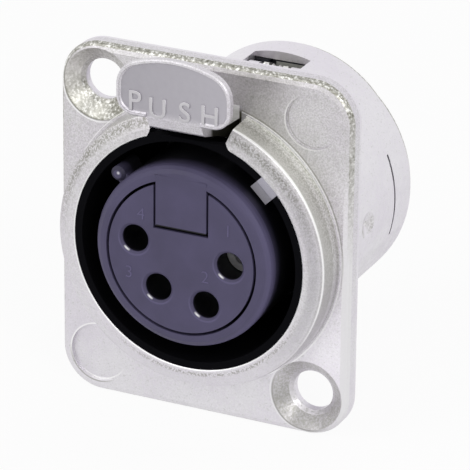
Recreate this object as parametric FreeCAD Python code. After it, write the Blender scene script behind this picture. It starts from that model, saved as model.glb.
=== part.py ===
import FreeCAD, Part
import math
import os

# Four-contact female panel socket with a push latch. All sizes are in millimetres.
# X is right as seen from the front, +Y runs rearward through the panel and +Z is up.
# The origin lies on the socket's axis, in the plane where the flange meets the panel.

# Flange
FLANGE_WIDTH = 26.0
FLANGE_HEIGHT = 31.0
FLANGE_THICKNESS = 2.0
FLANGE_CORNER_RADIUS = 3.6
FLANGE_FRONT_ROUND = 0.7
FLANGE_REAR_CHAMFER = 0.2
SCREW_SPACING_X = 19.0
SCREW_SPACING_Z = 24.0
SCREW_HOLE_RADIUS = 1.75
COUNTERSINK_RADIUS = 3.1
COUNTERSINK_DEPTH = 1.3
UPPER_RECESS_RADIUS = 2.3
LOWER_RECESS_RADIUS = 2.55
RECESS_DEPTH = 0.3

# Collar round the mouth, in front of the flange
COLLAR_BASE_RADIUS = 12.2
COLLAR_FOOT_LEDGE = 0.12
COLLAR_FOOT_HEIGHT = 0.2
COLLAR_CREST_RADIUS = 11.85
COLLAR_CREST_HEIGHT = 2.5
COLLAR_LIP_RADIUS = 10.75
COLLAR_LIP_HEIGHT = 2.95
COLLAR_CREST_EASE = 0.25
RIM_SEAT_DEPTH = 1.0

# Barrel behind the panel
BARREL_RADIUS = 10.75
BARREL_LENGTH = 16.6
BARREL_END_ROUND = 0.8
BORE_RADIUS = 9.95
ROOF_TOP_Z = 11.2
ROOF_RADIUS = 9.8
DIMPLE_RADIUS = 1.25
DIMPLE_DEPTH = 0.45
DIMPLE_Y = 6.9

# Plug shell that slides into the ring gap
PLUG_SHELL_RADIUS = 9.45
PLUG_CLEARANCE = 0.1
GAP_FLOOR_Y = BARREL_LENGTH - 6.2

# Lining of the bore
LINER_RIM_SINK = 0.1
LINER_BORE_RADIUS = PLUG_SHELL_RADIUS + PLUG_CLEARANCE
LINER_FIT = 0.05
LINER_RADIUS = BORE_RADIUS - LINER_FIT
LINER_BRIDGE = 0.6
LINER_END_GAP = 0.05

# Insert: outer sleeve with its tongue, and the inner block that holds the contacts
INSERT_FACE_Y = -6.15
INSERT_RADIUS = 7.85
INSERT_EDGE_ROUND = 0.95
INSERT_RIM_STEPS = 4
GROOVE_RADIUS = 6.58
GROOVE_WIDTH = 0.25
TONGUE_WIDTH = 4.5
TONGUE_TIP_Z = 2.5
TONGUE_SIDE_GAP = 0.2
TONGUE_TIP_GAP = 0.25
PEG_ANGLE = 135.0
PEG_RADIUS = 0.62
PEG_CENTRE_RADIUS = 8.5
PEG_FRONT_Y = -5.5
PEG_LENGTH = 3.0

# Contacts, named by their numbers, with their places on the face as (X, Z)
CONTACT_PLACES = {"contact_1": (4.3, 0.1), "contact_2": (2.2, -3.7),
                  "contact_3": (-2.05, -2.95), "contact_4": (-4.15, 0.95)}
CONTACT_DEPTHS = {"contact_1": 3.0, "contact_2": 4.2, "contact_3": 4.2, "contact_4": 4.8}
CONTACT_HOLE_RADIUS = 1.17
CONTACT_HOLE_CHAMFER = 0.2
CONTACT_LIP = 0.6
CONTACT_RADIUS = 1.6
CONTACT_FIT = 0.06
CONTACT_BORE_RADIUS = 1.0
CONTACT_BORE_END_Y = GAP_FLOOR_Y - 2.4
CONTACT_SLOT_WIDTH = 0.35
CONTACT_SLOT_LENGTH = 5.0
TAIL_RADIUS = 1.2
CUP_BORE_RADIUS = 0.8
CUP_DEPTH = 4.0
CUP_OPENING_LENGTH = 3.2
TAIL_REACH = 4.4
TAIL_END_Y = BARREL_LENGTH + TAIL_REACH

# Rear insulator
INSULATOR_FIT = 0.1
INSULATOR_RADIUS = BORE_RADIUS - INSULATOR_FIT
INSULATOR_SINK = 0.7
INSULATOR_END_Y = BARREL_LENGTH - INSULATOR_SINK
INSULATOR_RIM = 1.3
INSULATOR_RECESS = 1.0
CATCH_Y = GAP_FLOOR_Y + 2.1
CATCH_MID_Z = 0.5
CATCH_THICKNESS = 0.16
CATCH_HALF_WIDTH = 3.5
CATCH_REACH = 0.55
CATCH_CLEARANCE = 0.05

# Ground contact: one bent strip with a bump in the ring gap and a solder lug at the rear
GROUND_ANGLE = 45.0
GROUND_WIDTH = 1.9
GROUND_THICKNESS = 0.25
GROUND_WALL_GAP = 0.06
GROUND_TIP_Y = -4.2
GROUND_TIP_RADIUS = 9.62
GROUND_BUMP_Y = -3.88
GROUND_BUMP_RADIUS = 7.98
GROUND_HEEL_Y = 1.6
GROUND_LUG_RADIUS = 6.9
GROUND_LUG_END_Y = TAIL_END_Y - 0.6
GROUND_LUG_WIDTH = 2.6
GROUND_LUG_HOLE_RADIUS = 0.75
GROUND_SLOT_CLEARANCE = 0.15

# Latch lever, which rocks on a cross pin at its rear end
PIVOT_Y = GAP_FLOOR_Y + 1.3
PIVOT_Z = 9.5
PIN_RADIUS = 0.6
PIN_LENGTH = 7.5
PIN_RUNNING_FIT = 0.06
PIN_SEAT_FIT = 0.04
KNUCKLE_RADIUS = 1.05
FORK_GAP = 2.9
LEVER_WIDTH = 4.8
LEVER_UNDERSIDE_Z = LINER_BORE_RADIUS + 0.1
LEVER_TOP_Z = 10.5
LEVER_STEP = 0.2
HOOK_TIP_Z = 8.95
HOOK_REAR_Y = PIVOT_Y - 5.3
HOOK_LENGTH = 1.5
HOOK_RAMP = 2.0
HOOK_WIDTH = 3.8
TAB_FACE_Y = -7.75
TAB_THICKNESS = 0.9
TAB_WIDTH = 10.0
TAB_TOP_Z = 17.5
TAB_BOTTOM_Z = 12.33
TAB_CROWN_RADIUS = 10.0
TAB_UPPER_CORNER = 2.25
TAB_LOWER_CORNER = 1.5
TAB_RIM = 0.26
TAB_DISH_DEPTH = 0.2
CHIN_TOP_Z = 12.5
CHIN_Z = 11.3
CHIN_LEAN = 0.5
LATCH_RELEASE_DEG = 6.0

# Openings that the lever works in
WINDOW_WIDTH = 5.1
WINDOW_END_Y = PIVOT_Y + 1.5
FLANGE_SLOT_CLEARANCE = 0.2
FLANGE_POCKET_DEPTH = 1.3
COLLAR_SLOT_WIDTH = 6.7
COLLAR_SLOT_SPREAD = 0.5
ROOF_THICKNESS = 0.75

# Torsion spring round the pin
SPRING_WIRE_RADIUS = 0.2
SPRING_COIL_RADIUS = 0.88
SPRING_TURNS = 3
SPRING_PITCH = 0.62
SPRING_LEFT_X = -0.9
SPRING_FRONT_LEG_Y = PIVOT_Y - 4.7
SPRING_REAR_LEG_Y = PIVOT_Y + 1.8
SPRING_REAR_LEG_SLOPE = 20.0
SPRING_SEAT_GAP = 0.02

AXIS_X = FreeCAD.Vector(1, 0, 0)
AXIS_Y = FreeCAD.Vector(0, 1, 0)
AXIS_Z = FreeCAD.Vector(0, 0, 1)
FLANGE_FRONT_Y = -FLANGE_THICKNESS
LIP_Y = FLANGE_FRONT_Y - COLLAR_LIP_HEIGHT
RIM_SEAT_Y = LIP_Y + RIM_SEAT_DEPTH
LINER_FRONT_Y = LIP_Y + LINER_RIM_SINK
FAR = 40.0


def vec(x, y, z):
    return FreeCAD.Vector(x, y, z)


def rod_y(radius, y_front, y_rear, x=0.0, z=0.0):
    """A cylinder that lies along Y."""
    return Part.makeCylinder(radius, y_rear - y_front, vec(x, y_front, z), AXIS_Y)


def rod_x(radius, x_left, x_right, y, z):
    """A cylinder that lies along X."""
    return Part.makeCylinder(radius, x_right - x_left, vec(x_left, y, z), AXIS_X)


def block(x_range, y_range, z_range):
    """A box between two values on each axis."""
    size = [high - low for low, high in (x_range, y_range, z_range)]
    return Part.makeBox(size[0], size[1], size[2], vec(x_range[0], y_range[0], z_range[0]))


def middle_block(width, y_range, z_range):
    """A box that is centred on X."""
    return block((-width / 2, width / 2), y_range, z_range)


def turned(points):
    """A solid turned about Y from a closed outline of (radius, Y) points."""
    outline = [vec(radius, y, 0) for radius, y in points]
    face = Part.Face(Part.makePolygon(outline + outline[:1]))
    return face.revolve(vec(0, 0, 0), AXIS_Y, 360)


def pressed_x(points, width):
    """A solid of the given width, centred on X, from a closed outline of (Y, Z) points."""
    outline = [vec(-width / 2, y, z) for y, z in points]
    face = Part.Face(Part.makePolygon(outline + outline[:1]))
    return face.extrude(vec(width, 0, 0))


def rim_edges(shape, radius, y):
    """The round edges of one radius that lie at one Y."""
    found = []
    for edge in shape.Edges:
        curve = edge.Curve
        if not isinstance(curve, Part.Circle):
            continue
        at_y = abs(curve.Center.y - y) < 1e-4 and abs(abs(curve.Axis.y) - 1) < 1e-6
        if at_y and abs(curve.Radius - radius) < 1e-4:
            found.append(edge)
    return found


def edges_at_y(shape, y):
    """The edges that lie wholly in one plane of constant Y."""
    return [e for e in shape.Edges if abs(e.BoundBox.YMin - y) < 1e-4 and abs(e.BoundBox.YMax - y) < 1e-4]


def eased(shape, y, radius, inward):
    """Round the edges that lie at one Y as three narrow bevels; inward is the way into the solid."""
    first = radius * 0.6
    second = radius * 0.28
    shape = shape.makeChamfer(first, edges_at_y(shape, y))
    shape = shape.makeChamfer(second, edges_at_y(shape, y))
    return shape.makeChamfer(second, edges_at_y(shape, y + inward * first))


def turned_to(shape, degrees):
    """A copy turned about the socket's axis, counted from +X towards +Z."""
    copy = shape.copy()
    copy.rotate(vec(0, 0, 0), AXIS_Y, -degrees)
    return copy


# Housing

def flange_plate():
    """The square plate with round corners, softened at the front."""
    plate = middle_block(FLANGE_WIDTH, (FLANGE_FRONT_Y, 0), (-FLANGE_HEIGHT / 2, FLANGE_HEIGHT / 2))
    corners = [e for e in plate.Edges if e.BoundBox.YLength > FLANGE_THICKNESS / 2]
    plate = plate.makeFillet(FLANGE_CORNER_RADIUS, corners)
    plate = eased(plate, FLANGE_FRONT_Y, FLANGE_FRONT_ROUND, 1)
    return plate.makeChamfer(FLANGE_REAR_CHAMFER, edges_at_y(plate, 0))


def collar_solid():
    """The collar, solid for now: a sloping front, an eased crest and a low ledge round its foot."""
    crest_y = FLANGE_FRONT_Y - COLLAR_CREST_HEIGHT
    ease = COLLAR_CREST_EASE
    foot_y = FLANGE_FRONT_Y - COLLAR_FOOT_HEIGHT
    return turned([(0, LIP_Y), (COLLAR_LIP_RADIUS, LIP_Y), (COLLAR_CREST_RADIUS - ease, crest_y - ease * 0.4),
                   (COLLAR_CREST_RADIUS - ease * 0.2, crest_y + ease * 0.2),
                   (COLLAR_CREST_RADIUS + ease * 0.1, crest_y + ease),
                   (COLLAR_BASE_RADIUS - COLLAR_FOOT_LEDGE, foot_y), (COLLAR_BASE_RADIUS, foot_y),
                   (COLLAR_BASE_RADIUS, 0), (0, 0)])


def barrel_solid(radius, z=0.0):
    """A solid barrel of one radius whose rear rim is eased in two steps."""
    ease = BARREL_END_ROUND
    outline = [(0, FLANGE_FRONT_Y / 2), (radius, FLANGE_FRONT_Y / 2), (radius, BARREL_LENGTH - ease),
               (radius - ease * 0.3, BARREL_LENGTH - ease * 0.3), (radius - ease, BARREL_LENGTH),
               (0, BARREL_LENGTH)]
    solid = turned(outline)
    solid.translate(vec(0, 0, z))
    return solid


def roof_solid():
    """The thicker wall over the latch's pivot: a tighter barrel set higher, cut off at the axis."""
    above = middle_block(FAR, (FLANGE_FRONT_Y / 2, BARREL_LENGTH), (BARREL_RADIUS / 2, FAR))
    return barrel_solid(ROOF_RADIUS, ROOF_TOP_Z - ROOF_RADIUS).common(above)


def mouth_and_bore():
    """The space inside the collar, with the seat for the lining's rim, and inside the barrel."""
    return turned([(0, LIP_Y - 1), (COLLAR_LIP_RADIUS, LIP_Y - 1), (COLLAR_LIP_RADIUS, RIM_SEAT_Y),
                   (BORE_RADIUS, RIM_SEAT_Y), (BORE_RADIUS, BARREL_LENGTH + 1), (0, BARREL_LENGTH + 1)])


def screw_hole(x, z):
    """One countersunk hole, with the cone's mouth at the flange's front."""
    cone = Part.makeCone(COUNTERSINK_RADIUS, SCREW_HOLE_RADIUS, COUNTERSINK_DEPTH,
                         vec(x, FLANGE_FRONT_Y, z), AXIS_Y)
    return cone.fuse(rod_y(SCREW_HOLE_RADIUS, FLANGE_FRONT_Y, 1, x, z))


def flange_slot_top():
    """The slot's height, which lets the lever's arm rise by its full swing."""
    rise = (PIVOT_Y - FLANGE_FRONT_Y) * math.sin(math.radians(LATCH_RELEASE_DEG))
    return LEVER_TOP_Z + LEVER_STEP + rise + FLANGE_SLOT_CLEARANCE


def collar_slot():
    """The gap in the collar, whose two sides spread apart towards the outside."""
    half = COLLAR_SLOT_WIDTH / 2
    wide = half + COLLAR_SLOT_SPREAD
    low = LINER_BORE_RADIUS - 0.5
    outline = [(-half, low), (half, low), (half, COLLAR_LIP_RADIUS - 0.6), (wide, COLLAR_BASE_RADIUS - 0.6),
               (wide, COLLAR_BASE_RADIUS + 1), (-wide, COLLAR_BASE_RADIUS + 1),
               (-wide, COLLAR_BASE_RADIUS - 0.6), (-half, COLLAR_LIP_RADIUS - 0.6)]
    corners = [vec(x, LIP_Y - 1, z) for x, z in outline]
    face = Part.Face(Part.makePolygon(corners + corners[:1]))
    return face.extrude(vec(0, FLANGE_FRONT_Y - LIP_Y + 1, 0))


def lever_openings():
    """The slots through the collar and flange, the barrel's window and the space under its roof."""
    low = LINER_BORE_RADIUS - 0.5
    pocket = middle_block(COLLAR_SLOT_WIDTH, (FLANGE_FRONT_Y - 0.1, FLANGE_FRONT_Y + FLANGE_POCKET_DEPTH),
                          (low, flange_slot_top()))
    flange_slot = middle_block(WINDOW_WIDTH, (FLANGE_FRONT_Y, 0.1), (low, flange_slot_top()))
    window = middle_block(WINDOW_WIDTH, (0, WINDOW_END_Y), (low, ROOF_TOP_Z + 1))
    under_roof = middle_block(WINDOW_WIDTH, (WINDOW_END_Y, BARREL_LENGTH + 1),
                              (low, ROOF_TOP_Z - ROOF_THICKNESS))
    return [collar_slot(), pocket, flange_slot, window, under_roof]


def pin_grooves():
    """Grooves beside the window that the pin slides into from the rear."""
    radius = PIN_RADIUS + PIN_SEAT_FIT
    width = PIN_LENGTH + 0.2
    seat = rod_x(radius, -width / 2, width / 2, PIVOT_Y, PIVOT_Z)
    run = middle_block(width, (PIVOT_Y, BARREL_LENGTH + 1), (PIVOT_Z - radius, PIVOT_Z + radius))
    return seat.fuse(run)


def catch_slits():
    """A thin slit through each side of the barrel for the insulator's catches."""
    half = CATCH_THICKNESS / 2 + CATCH_CLEARANCE
    reach = CATCH_HALF_WIDTH + CATCH_CLEARANCE
    return middle_block(FAR, (CATCH_Y - half, CATCH_Y + half), (CATCH_MID_Z - reach, CATCH_MID_Z + reach))


def side_dimples():
    """A shallow cone-shaped dimple on each side of the barrel."""
    floor_x = BARREL_RADIUS - DIMPLE_DEPTH
    wide = DIMPLE_RADIUS * 1.5
    right = Part.makeCone(0, wide, DIMPLE_DEPTH * 1.5, vec(floor_x, DIMPLE_Y, 0), AXIS_X)
    left = Part.makeCone(0, wide, DIMPLE_DEPTH * 1.5, vec(-floor_x, DIMPLE_Y, 0), AXIS_X * -1)
    return [right, left]


def housing():
    """The die-cast shell: flange, collar and barrel in one piece."""
    body = flange_plate().fuse([collar_solid(), barrel_solid(BARREL_RADIUS), roof_solid()])
    half_x = SCREW_SPACING_X / 2
    half_z = SCREW_SPACING_Z / 2
    cuts = [mouth_and_bore(), screw_hole(-half_x, half_z), screw_hole(half_x, -half_z)]
    recess_floor = FLANGE_FRONT_Y + RECESS_DEPTH
    cuts.append(rod_y(UPPER_RECESS_RADIUS, FLANGE_FRONT_Y - 1, recess_floor, half_x, half_z))
    cuts.append(rod_y(LOWER_RECESS_RADIUS, FLANGE_FRONT_Y - 1, recess_floor, -half_x, -half_z))
    cuts += lever_openings()
    cuts += [pin_grooves(), catch_slits()]
    cuts += side_dimples()
    return body.cut(cuts).removeSplitter()


# Lining, insert and insulator

def ground_slot(radius_low, radius_high, y_range, width):
    """A straight-sided slot at the ground contact's angle."""
    box = block((radius_low, radius_high), y_range, (-width / 2, width / 2))
    return turned_to(box, GROUND_ANGLE)


def bore_liner():
    """The lining: a thin tube with a rim in the mouth, open for the latch and slit for the strip."""
    rear = GAP_FLOOR_Y - LINER_END_GAP
    rim_radius = COLLAR_LIP_RADIUS - LINER_FIT
    rim_rear = RIM_SEAT_Y - LINER_END_GAP
    tube = turned([(LINER_BORE_RADIUS, LINER_FRONT_Y), (rim_radius, LINER_FRONT_Y), (rim_radius, rim_rear),
                   (LINER_RADIUS, rim_rear), (LINER_RADIUS, rear), (LINER_BORE_RADIUS, rear)])
    rim_gap = middle_block(COLLAR_SLOT_WIDTH, (LINER_FRONT_Y - 1, rim_rear), (LINER_RADIUS, FAR))
    latch_slot = middle_block(WINDOW_WIDTH + 0.1, (LINER_FRONT_Y + LINER_BRIDGE, rear), (0, LINER_RADIUS + 1))
    slit_width = GROUND_WIDTH + 2 * GROUND_SLOT_CLEARANCE
    slit_front = GROUND_TIP_Y - GROUND_SLOT_CLEARANCE
    slit = ground_slot(LINER_BORE_RADIUS - 1, LINER_RADIUS + 1, (slit_front, rear), slit_width)
    return tube.cut([rim_gap, latch_slot, slit])


def insert_rim():
    """The sleeve's rounded front rim as a few (radius, Y) steps along a quarter circle."""
    centre_radius = INSERT_RADIUS - INSERT_EDGE_ROUND
    centre_y = INSERT_FACE_Y + INSERT_EDGE_ROUND
    angles = [math.radians(90 * step / INSERT_RIM_STEPS) for step in range(INSERT_RIM_STEPS + 1)]
    return [(centre_radius + INSERT_EDGE_ROUND * math.sin(angle),
             centre_y - INSERT_EDGE_ROUND * math.cos(angle)) for angle in angles]


def insert_peg():
    """The small blunt peg on the sleeve's edge."""
    angle = math.radians(PEG_ANGLE)
    x = PEG_CENTRE_RADIUS * math.cos(angle)
    z = PEG_CENTRE_RADIUS * math.sin(angle)
    peg = rod_y(PEG_RADIUS, PEG_FRONT_Y, PEG_FRONT_Y + PEG_LENGTH, x, z)
    peg = peg.makeChamfer(PEG_RADIUS * 0.35, rim_edges(peg, PEG_RADIUS, PEG_FRONT_Y))
    root = block((INSERT_RADIUS - 0.3, PEG_CENTRE_RADIUS), (PEG_FRONT_Y + 0.3, PEG_FRONT_Y + PEG_LENGTH),
                 (-PEG_RADIUS * 0.8, PEG_RADIUS * 0.8))
    return peg.fuse(turned_to(root, PEG_ANGLE))


def insert_sleeve():
    """The moulded ring round the contact block, with the tongue that keys it."""
    inner = GROOVE_RADIUS + GROOVE_WIDTH / 2
    outside = turned([(0, INSERT_FACE_Y)] + insert_rim() + [(INSERT_RADIUS, GAP_FLOOR_Y), (0, GAP_FLOOR_Y)])
    ring = outside.cut(rod_y(inner, INSERT_FACE_Y - 1, GAP_FLOOR_Y + 1))
    tongue = middle_block(TONGUE_WIDTH, (INSERT_FACE_Y, GAP_FLOOR_Y), (TONGUE_TIP_Z, inner + 0.2))
    return ring.fuse([tongue, insert_peg()]).removeSplitter()


def contact_holder():
    """The inner block: notched for the tongue and bored for the four contacts."""
    block_radius = GROOVE_RADIUS - GROOVE_WIDTH / 2
    solid = rod_y(block_radius, INSERT_FACE_Y, GAP_FLOOR_Y)
    notch_width = TONGUE_WIDTH + 2 * TONGUE_SIDE_GAP
    notch_floor = TONGUE_TIP_Z - TONGUE_TIP_GAP
    cuts = [middle_block(notch_width, (INSERT_FACE_Y - 1, GAP_FLOOR_Y + 1), (notch_floor, block_radius + 1))]
    for x, z in CONTACT_PLACES.values():
        mouth = CONTACT_HOLE_RADIUS + CONTACT_HOLE_CHAMFER
        cuts.append(rod_y(CONTACT_HOLE_RADIUS, INSERT_FACE_Y - 1, GAP_FLOOR_Y, x, z))
        cuts.append(Part.makeCone(mouth, CONTACT_HOLE_RADIUS, CONTACT_HOLE_CHAMFER,
                                  vec(x, INSERT_FACE_Y, z), AXIS_Y))
        cuts.append(rod_y(CONTACT_RADIUS + CONTACT_FIT, INSERT_FACE_Y + CONTACT_LIP, GAP_FLOOR_Y + 1, x, z))
    return solid.cut(cuts)


def insulator_key():
    """The key under the barrel's roof, with wings that close the pin's grooves."""
    front = PIVOT_Y + KNUCKLE_RADIUS + 0.35
    under_roof = ROOF_TOP_Z - ROOF_THICKNESS
    key = middle_block(WINDOW_WIDTH - 2 * INSULATOR_FIT, (front, INSULATOR_END_Y),
                       (INSULATOR_RADIUS - 2, under_roof - INSULATOR_FIT))
    wing_top = PIVOT_Z + PIN_RADIUS + PIN_SEAT_FIT - 0.05
    wings = middle_block(PIN_LENGTH, (front, INSULATOR_END_Y), (INSULATOR_RADIUS - 2, wing_top))
    return [key, wings]


def rear_leg_pocket():
    """The pocket in the key whose floor carries the tip of the spring's rear leg."""
    tip = rear_leg_ends()[1]
    drop = SPRING_WIRE_RADIUS * math.cos(math.radians(SPRING_REAR_LEG_SLOPE)) + SPRING_SEAT_GAP
    half = SPRING_WIRE_RADIUS + 0.15
    return block((tip.x - half, tip.x + half), (GAP_FLOOR_Y, tip.y + 0.25), (tip.z - drop, ROOF_TOP_Z))


def insulator_catches():
    """The two thin catches that click into the slits in the barrel."""
    disc = rod_y(INSULATOR_RADIUS + CATCH_REACH, CATCH_Y - CATCH_THICKNESS / 2, CATCH_Y + CATCH_THICKNESS / 2)
    band = middle_block(FAR, (CATCH_Y - 1, CATCH_Y + 1),
                        (CATCH_MID_Z - CATCH_HALF_WIDTH, CATCH_MID_Z + CATCH_HALF_WIDTH))
    return disc.common(band)


def rear_insulator():
    """The moulded disc that closes the barrel and carries the contacts' tails."""
    disc = rod_y(INSULATOR_RADIUS, GAP_FLOOR_Y, INSULATOR_END_Y)
    solid = disc.fuse(insulator_key() + [insulator_catches()])
    pocket_front = GAP_FLOOR_Y - 1
    pocket_rear = PIVOT_Y + KNUCKLE_RADIUS + 0.35
    spring_floor = PIVOT_Z - SPRING_COIL_RADIUS - SPRING_WIRE_RADIUS - SPRING_SEAT_GAP
    cuts = [middle_block(LEVER_WIDTH + 0.4, (pocket_front, pocket_rear), (spring_floor, ROOF_TOP_Z)),
            rear_leg_pocket()]
    seat = PIN_RADIUS + PIN_SEAT_FIT
    cuts.append(middle_block(PIN_LENGTH + 0.2, (pocket_front, PIVOT_Y), (PIVOT_Z - seat, ROOF_TOP_Z)))
    cuts.append(rod_x(seat, -PIN_LENGTH / 2 - 0.1, PIN_LENGTH / 2 + 0.1, PIVOT_Y, PIVOT_Z))
    recess = rod_y(INSULATOR_RADIUS - INSULATOR_RIM, INSULATOR_END_Y - INSULATOR_RECESS, INSULATOR_END_Y + 1)
    cuts.append(recess)
    for x, z in CONTACT_PLACES.values():
        cuts.append(rod_y(TAIL_RADIUS + CONTACT_FIT, GAP_FLOOR_Y - 1, INSULATOR_END_Y + 1, x, z))
    step = GROUND_LUG_WIDTH + 2 * GROUND_SLOT_CLEARANCE
    lug_low = GROUND_LUG_RADIUS - GROUND_SLOT_CLEARANCE
    lug_high = GROUND_LUG_RADIUS + GROUND_THICKNESS + GROUND_SLOT_CLEARANCE
    cuts.append(ground_slot(lug_low, lug_high, (GAP_FLOOR_Y - 1, INSULATOR_END_Y + 1), step))
    pocket = (GAP_FLOOR_Y - 1, ground_jog_end_y() + GROUND_THICKNESS + GROUND_SLOT_CLEARANCE)
    cuts.append(ground_slot(lug_low, BORE_RADIUS, pocket, step))
    return solid.cut(cuts).removeSplitter()


# Contacts

def contact(name):
    """A turned contact: a split socket in front and a solder cup behind."""
    x, z = CONTACT_PLACES[name]
    front = INSERT_FACE_Y + CONTACT_DEPTHS[name]
    body = rod_y(CONTACT_RADIUS, front, GAP_FLOOR_Y, x, z).fuse(rod_y(TAIL_RADIUS, front, TAIL_END_Y, x, z))
    cuts = [rod_y(CONTACT_BORE_RADIUS, front - 1, CONTACT_BORE_END_Y, x, z)]
    cuts.append(block((x - CONTACT_SLOT_WIDTH / 2, x + CONTACT_SLOT_WIDTH / 2),
                      (front - 1, front + CONTACT_SLOT_LENGTH), (z - 2, z + 2)))
    cuts.append(rod_y(CUP_BORE_RADIUS, TAIL_END_Y - CUP_DEPTH, TAIL_END_Y + 1, x, z))
    cuts.append(block((x - 2, x + 2), (TAIL_END_Y - CUP_OPENING_LENGTH, TAIL_END_Y + 1),
                      (z + CUP_BORE_RADIUS * 0.35, z + 2)))
    return body.cut(cuts).removeSplitter()


# Ground contact

def ground_jog_end_y():
    """Where the strip, having stepped in from the bore's wall, turns rearward again."""
    return GAP_FLOOR_Y + 1.0


def ground_contact():
    """The strip: a sprung bump in the gap, a straight run along the bore and a solder lug."""
    wall = BORE_RADIUS - GROUND_WALL_GAP
    inner = wall - GROUND_THICKNESS
    slant = GROUND_THICKNESS * 1.1
    jog = ground_jog_end_y()
    outline = [(GROUND_TIP_RADIUS, GROUND_TIP_Y), (GROUND_BUMP_RADIUS + slant / 2, GROUND_BUMP_Y),
               (GROUND_BUMP_RADIUS + slant / 2, GROUND_BUMP_Y + 0.5), (inner, GROUND_HEEL_Y),
               (inner, jog - GROUND_THICKNESS), (GROUND_LUG_RADIUS, jog - GROUND_THICKNESS),
               (GROUND_LUG_RADIUS, GROUND_LUG_END_Y),
               (GROUND_LUG_RADIUS + GROUND_THICKNESS, GROUND_LUG_END_Y),
               (GROUND_LUG_RADIUS + GROUND_THICKNESS, jog), (wall, jog),
               (wall, GROUND_HEEL_Y + 0.1), (GROUND_BUMP_RADIUS + slant * 1.5, GROUND_BUMP_Y + 0.5),
               (GROUND_BUMP_RADIUS + slant * 1.5, GROUND_BUMP_Y + 0.2),
               (GROUND_TIP_RADIUS + slant / 2, GROUND_TIP_Y + 0.2)]
    corners = [vec(radius, y, -GROUND_WIDTH / 2) for radius, y in outline]
    face = Part.Face(Part.makePolygon(corners + corners[:1]))
    strip = face.extrude(vec(0, 0, GROUND_WIDTH))
    lug_radii = (GROUND_LUG_RADIUS, GROUND_LUG_RADIUS + GROUND_THICKNESS)
    lug = block(lug_radii, (jog, GROUND_LUG_END_Y), (-GROUND_LUG_WIDTH / 2, GROUND_LUG_WIDTH / 2))
    ends = [e for e in lug.Edges if e.BoundBox.XLength > GROUND_THICKNESS / 2
            and abs(e.BoundBox.YMin - GROUND_LUG_END_Y) < 1e-4]
    lug = lug.makeFillet(GROUND_LUG_WIDTH * 0.4, ends)
    hole_y = GROUND_LUG_END_Y - GROUND_LUG_WIDTH * 0.55
    hole = rod_x(GROUND_LUG_HOLE_RADIUS, lug_radii[0] - 1, lug_radii[1] + 1, hole_y, 0)
    trimmed = strip.cut(block((0, FAR), (GROUND_LUG_END_Y - GROUND_LUG_WIDTH, FAR), (-FAR, FAR)))
    return turned_to(trimmed.fuse(lug).cut(hole).removeSplitter(), GROUND_ANGLE)


# Latch

def tab_outline(inset):
    """The closed wire of the oval tab, drawn in the plane of its face and drawn in by inset."""
    half = TAB_WIDTH / 2 - inset
    top = TAB_TOP_Z - inset
    bottom = TAB_BOTTOM_Z + inset
    crown = TAB_CROWN_RADIUS - inset
    upper = TAB_UPPER_CORNER - inset
    lower = TAB_LOWER_CORNER - inset
    crown_z = top - crown
    corner_x = half - upper
    corner_z = crown_z + math.sqrt((crown - upper) ** 2 - corner_x ** 2)
    lean = math.atan2(corner_x, corner_z - crown_z)
    joint = (corner_x + upper * math.sin(lean), corner_z + upper * math.cos(lean))
    mid = (lean + math.pi / 2) / 2
    bend = (corner_x + upper * math.sin(mid), corner_z + upper * math.cos(mid))
    low_x = half - lower
    low_z = bottom + lower
    low_bend = (low_x + lower * math.sqrt(0.5), low_z - lower * math.sqrt(0.5))

    def at(x, z):
        return vec(x, TAB_FACE_Y, z)

    def arc(a, b, c):
        return Part.Arc(at(*a), at(*b), at(*c)).toShape()

    def line(a, b):
        return Part.makeLine(at(*a), at(*b))

    def flip(p):
        return (-p[0], p[1])

    right = [arc(joint, bend, (half, corner_z)), line((half, corner_z), (half, low_z)),
             arc((half, low_z), low_bend, (low_x, bottom))]
    base = [line((low_x, bottom), (-low_x, bottom))]
    left = [arc((-low_x, bottom), flip(low_bend), (-half, low_z)), line((-half, low_z), (-half, corner_z)),
            arc((-half, corner_z), flip(bend), flip(joint))]
    roof = [arc(flip(joint), (0, top), joint)]
    return Part.Wire(right + base + left + roof)


def tab_plate():
    """The oval tab: rounded edges and a dished face whose rim is open above the chin."""
    plate = Part.Face(tab_outline(0)).extrude(vec(0, TAB_THICKNESS, 0))
    plate = plate.makeChamfer(TAB_RIM * 0.4, edges_at_y(plate, TAB_FACE_Y))
    plate = plate.makeChamfer(TAB_THICKNESS * 0.3, edges_at_y(plate, TAB_FACE_Y + TAB_THICKNESS))
    dish = Part.Face(tab_outline(TAB_RIM)).extrude(vec(0, TAB_DISH_DEPTH, 0))
    dish = dish.makeChamfer(TAB_DISH_DEPTH * 0.6, edges_at_y(dish, TAB_FACE_Y + TAB_DISH_DEPTH))
    run_out = middle_block(LEVER_WIDTH, (TAB_FACE_Y - 1, TAB_FACE_Y + TAB_DISH_DEPTH),
                           (TAB_BOTTOM_Z - 1, TAB_BOTTOM_Z + TAB_RIM * 2))
    return plate.cut([dish, run_out])


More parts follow.
